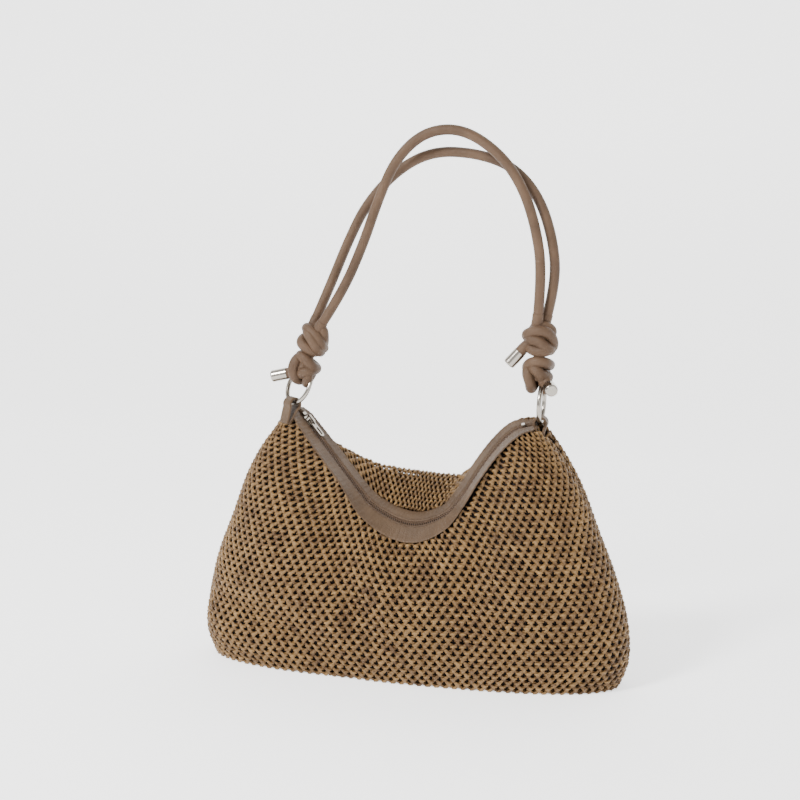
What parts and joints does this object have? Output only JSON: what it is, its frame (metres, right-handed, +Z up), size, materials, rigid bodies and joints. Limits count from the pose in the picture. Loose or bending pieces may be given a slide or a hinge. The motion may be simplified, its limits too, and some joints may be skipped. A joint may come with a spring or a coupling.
{
  "type": "hobo bag",
  "caption": "Open-weave hobo bag on a flat base with a sagging zipped mouth, leather facings and a knotted twin-cord shoulder handle on two metal rings.",
  "frame": {"origin": "middle of the flat base, on its underside", "axes": "+X to the right along the zip, +Y from front to back, +Z up"},
  "size_m": [0.4018, 0.1207, 0.4937],
  "materials": {
    "straw_weave": "open woven straw",
    "lining": "plain dark cloth",
    "taupe_leather": "soft matte, finely wrinkled",
    "zip_tape": "woven tape",
    "zip_coil": "moulded coil",
    "cord": "soft rolled leather",
    "nickel": "polished nickel"
  },
  "bodies": {
    "bag": {"front_panel": "straw_weave", "back_panel": "straw_weave", "base_panel": "straw_weave", "lining_front": "lining", "lining_back": "lining", "lining_base": "lining", "front_band": "taupe_leather", "back_band": "taupe_leather", "zipper_tape_front": "zip_tape", "zipper_tape_back": "zip_tape", "zipper_coil_front": "zip_coil", "zipper_coil_back": "zip_coil", "zipper_top_stop": "nickel", "zipper_bottom_stop": "nickel", "left_tab": "taupe_leather", "right_tab": "taupe_leather"},
    "slider": {"zipper_slider": "nickel"},
    "pull": {"zipper_pull": "nickel"},
    "handle": {"left_ring": "nickel", "right_ring": "nickel", "left_lower_knot": "cord", "right_lower_knot": "cord", "left_upper_knot": "cord", "right_upper_knot": "cord", "handle_cord_front": "cord", "handle_cord_back": "cord", "cord_tip_left_front": "nickel", "cord_tip_left_back": "nickel", "cord_tip_right_front": "nickel", "cord_tip_right_back": "nickel"}
  },
  "joints": [
    {"name": "slider_travel", "type": "slide", "parent": "bag", "child": "slider", "axis": [0.6664, -0.1749, -0.7247], "range_m": [0, 0.036]},
    {"name": "pull_swing", "type": "hinge", "parent": "slider", "child": "pull", "pos_m": [-0.09573, -0.00196, 0.2285], "axis": [-0.2708, -0.9625, -0.0167], "range_deg": [0, 110]},
    {"name": "handle_swing", "type": "hinge", "parent": "bag", "child": "handle", "pos_m": [-0.105, -0.005, 0.26], "axis": [0.9993, 0.0225, -0.0314], "range_deg": [-45, 90], "deforming": ["left_tab"]}
  ]
}
